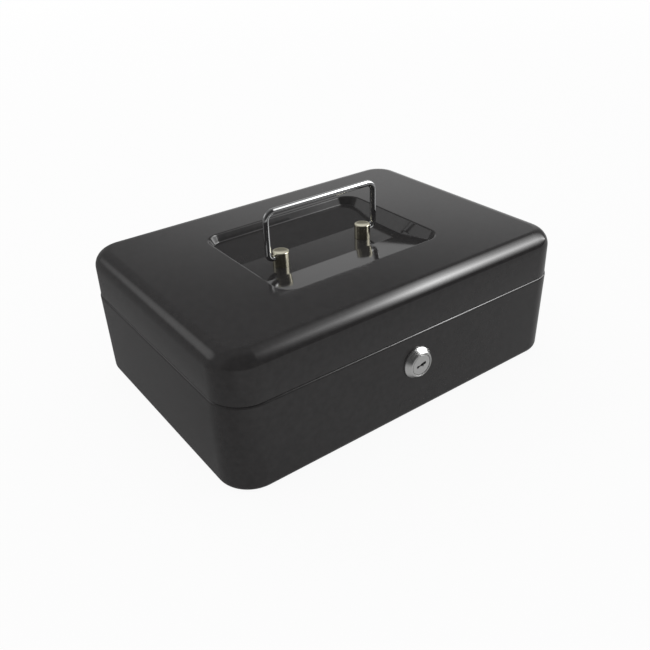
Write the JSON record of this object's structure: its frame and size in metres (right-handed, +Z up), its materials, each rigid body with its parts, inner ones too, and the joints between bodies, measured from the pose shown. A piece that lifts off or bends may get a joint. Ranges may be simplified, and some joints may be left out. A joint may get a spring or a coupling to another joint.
{
  "type": "cash box",
  "caption": "Lockable steel cash box with rounded corners, a folding wire handle in a lid recess, a cam lock in the front wall and a lift-out coin tray.",
  "frame": {"origin": "middle of the flat underside of the base", "axes": "+X to the right along the width, -Y out of the front wall with the lock, +Z up"},
  "size_m": [0.25, 0.1894, 0.1153],
  "materials": {
    "black_coat": "satin black powder coat with a faint grain",
    "hinge_steel": "satin black coat over steel",
    "zinc_plate": "dull zinc plate",
    "satin_chrome": "satin chrome",
    "nickel": "bright nickel, a little warm",
    "bright_chrome": "bright chrome",
    "tray_plastic": "fine matt texture"
  },
  "bodies": {
    "base": {"base_shell": "black_coat", "hinge_base_left": "hinge_steel", "hinge_base_right": "hinge_steel", "hinge_pin_left": "zinc_plate", "hinge_pin_right": "zinc_plate", "base_hinge_rivets": "hinge_steel", "lock_housing": "satin_chrome", "lock_washer": "zinc_plate", "lock_nut": "zinc_plate", "tray_rest_left": "black_coat", "tray_rest_right": "black_coat"},
    "lid": {"lid_shell": "black_coat", "hinge_lid_left": "hinge_steel", "hinge_lid_right": "hinge_steel", "lid_hinge_rivets": "hinge_steel", "lid_catch": "zinc_plate", "handle_post_left": "nickel", "handle_post_right": "nickel", "post_washers": "zinc_plate", "post_screws": "zinc_plate"},
    "handle": {"handle_bail": "bright_chrome"},
    "lock": {"lock_plug": "satin_chrome", "lock_cam": "zinc_plate", "cam_washer": "zinc_plate", "cam_screw": "zinc_plate"},
    "tray": {"coin_tray": "tray_plastic"}
  },
  "joints": [
    {"name": "lid_hinge", "type": "hinge", "parent": "base", "child": "lid", "pos_m": [0, 0.09274, 0.0567], "axis": [-1, 0, 0], "range_deg": [0, 105]},
    {"name": "handle_fold", "type": "hinge", "parent": "lid", "child": "handle", "pos_m": [0, 0, 0.0833], "axis": [1, 0, 0], "range_deg": [-93, 93]},
    {"name": "lock_turn", "type": "hinge", "parent": "base", "child": "lock", "pos_m": [0, 0, 0.0375], "axis": [0, -1, 0], "range_deg": [0, 90]},
    {"name": "tray_lift", "type": "slide", "parent": "base", "child": "tray", "axis": [0, 0, 1], "range_m": [0, 0.08]}
  ],
  "couplings": [
    {"joint": "tray_lift", "follows": "lid_hinge", "m_per_rad": 0.04365}
  ]
}
